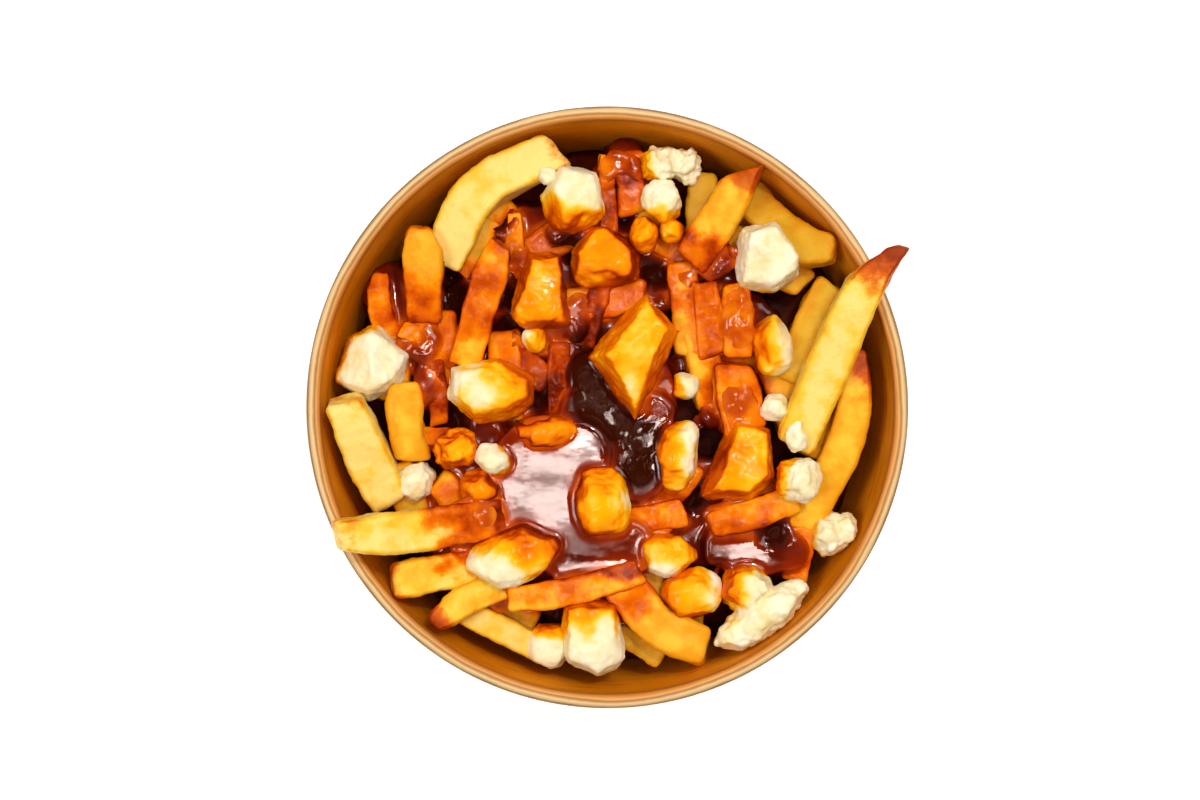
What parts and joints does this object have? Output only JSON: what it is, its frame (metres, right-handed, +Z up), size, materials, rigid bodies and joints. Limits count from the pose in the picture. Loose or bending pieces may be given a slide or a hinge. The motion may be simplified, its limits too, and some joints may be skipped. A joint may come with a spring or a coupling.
{
  "type": "dish of poutine",
  "caption": "Round kraft paper bowl heaped with golden fries, torn cheese curds and glossy brown gravy.",
  "frame": {"origin": "middle of the bowl's foot, on the surface it stands on", "axes": "+Z up along the bowl's axis; +X right and +Y away in the view from straight above"},
  "size_m": [0.15, 0.15, 0.0696],
  "materials": {
    "kraft": "smooth kraft paperboard with a thin clear lining",
    "fry": "fried potato, golden, browner at edges and tips",
    "curd": "fresh cheese, cream white, torn and slightly waxy",
    "gravy": "wet glossy brown gravy, orange where it is thin"
  },
  "bodies": {
    "root": {"bowl": "kraft", "fries": "fry", "curd_back_left": "curd", "curd_back_left_crumb": "curd", "curd_back_torn": "curd", "curd_back_middle": "curd", "curd_back_glazed_left": "curd", "curd_back_glazed_right": "curd", "curd_back_right": "curd", "curd_left_big": "curd", "curd_centre_left": "curd", "curd_upper_left": "curd", "curd_upper_middle": "curd", "curd_centre_big": "curd", "curd_centre_crumb": "curd", "curd_pool_top": "curd", "curd_pool_left": "curd", "curd_pool_left_white": "curd", "curd_pool_left_glazed": "curd", "curd_left_small": "curd", "curd_front_left": "curd", "curd_pool_right": "curd", "curd_centre_right_crumb": "curd", "curd_centre_right": "curd", "curd_right_big": "curd", "curd_right_upper": "curd", "curd_right_on_fry": "curd", "curd_right_lower": "curd", "curd_right_half_glazed": "curd", "curd_right_edge": "curd", "curd_front_right": "curd", "curd_front_small": "curd", "curd_front_glazed": "curd", "curd_front_middle": "curd", "curd_front_shaded": "curd", "gravy_pool": "gravy", "gravy_pool_centre": "gravy", "gravy_pool_right": "gravy"}
  },
  "joints": []
}
